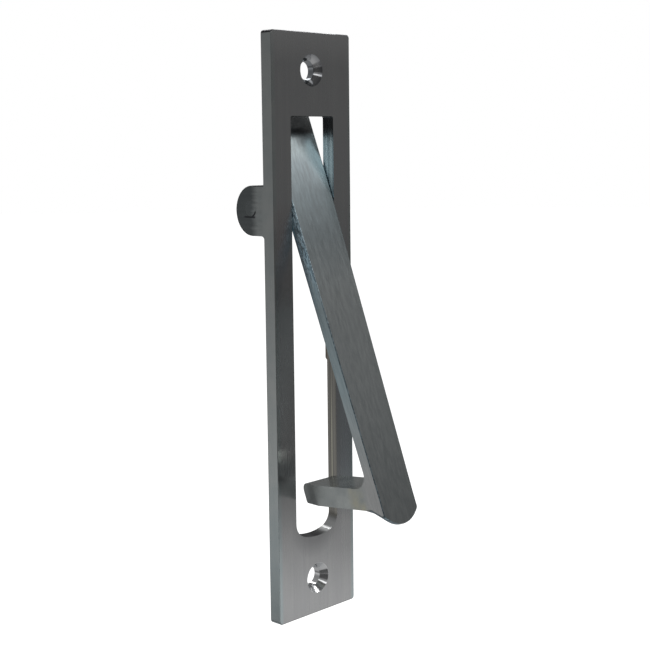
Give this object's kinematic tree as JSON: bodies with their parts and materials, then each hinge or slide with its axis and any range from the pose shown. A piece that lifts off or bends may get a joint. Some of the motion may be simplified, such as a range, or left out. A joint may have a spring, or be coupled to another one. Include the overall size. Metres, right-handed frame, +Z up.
{
  "type": "pocket door pull",
  "caption": "Edge pull for a sliding pocket door: a slotted faceplate with countersunk screw holes, and a lever with a finger hook that swings out of the slot.",
  "frame": {"origin": "midway between the two screw holes, in the plane of the plate's back", "axes": "+X across the plate, +Y into the door from the plate's back, +Z up along the plate towards the pivot end"},
  "size_m": [0.0286, 0.0444, 0.1524],
  "materials": {
    "satin_plate": "satin, brushed along the plate, with polished countersinks",
    "satin_lever": "satin, brushed along the lever, smoother on its sides",
    "pin_steel": "ground flush with the ears"
  },
  "bodies": {
    "plate": {"faceplate": "satin_plate", "pivot_pin": "pin_steel"},
    "lever": {"lever": "satin_lever"}
  },
  "joints": [
    {"name": "lever_swing", "type": "hinge", "parent": "plate", "child": "lever", "pos_m": [0, 0.005, 0.0321], "axis": [1, 0, 0], "range_deg": [0, 20.8]}
  ]
}
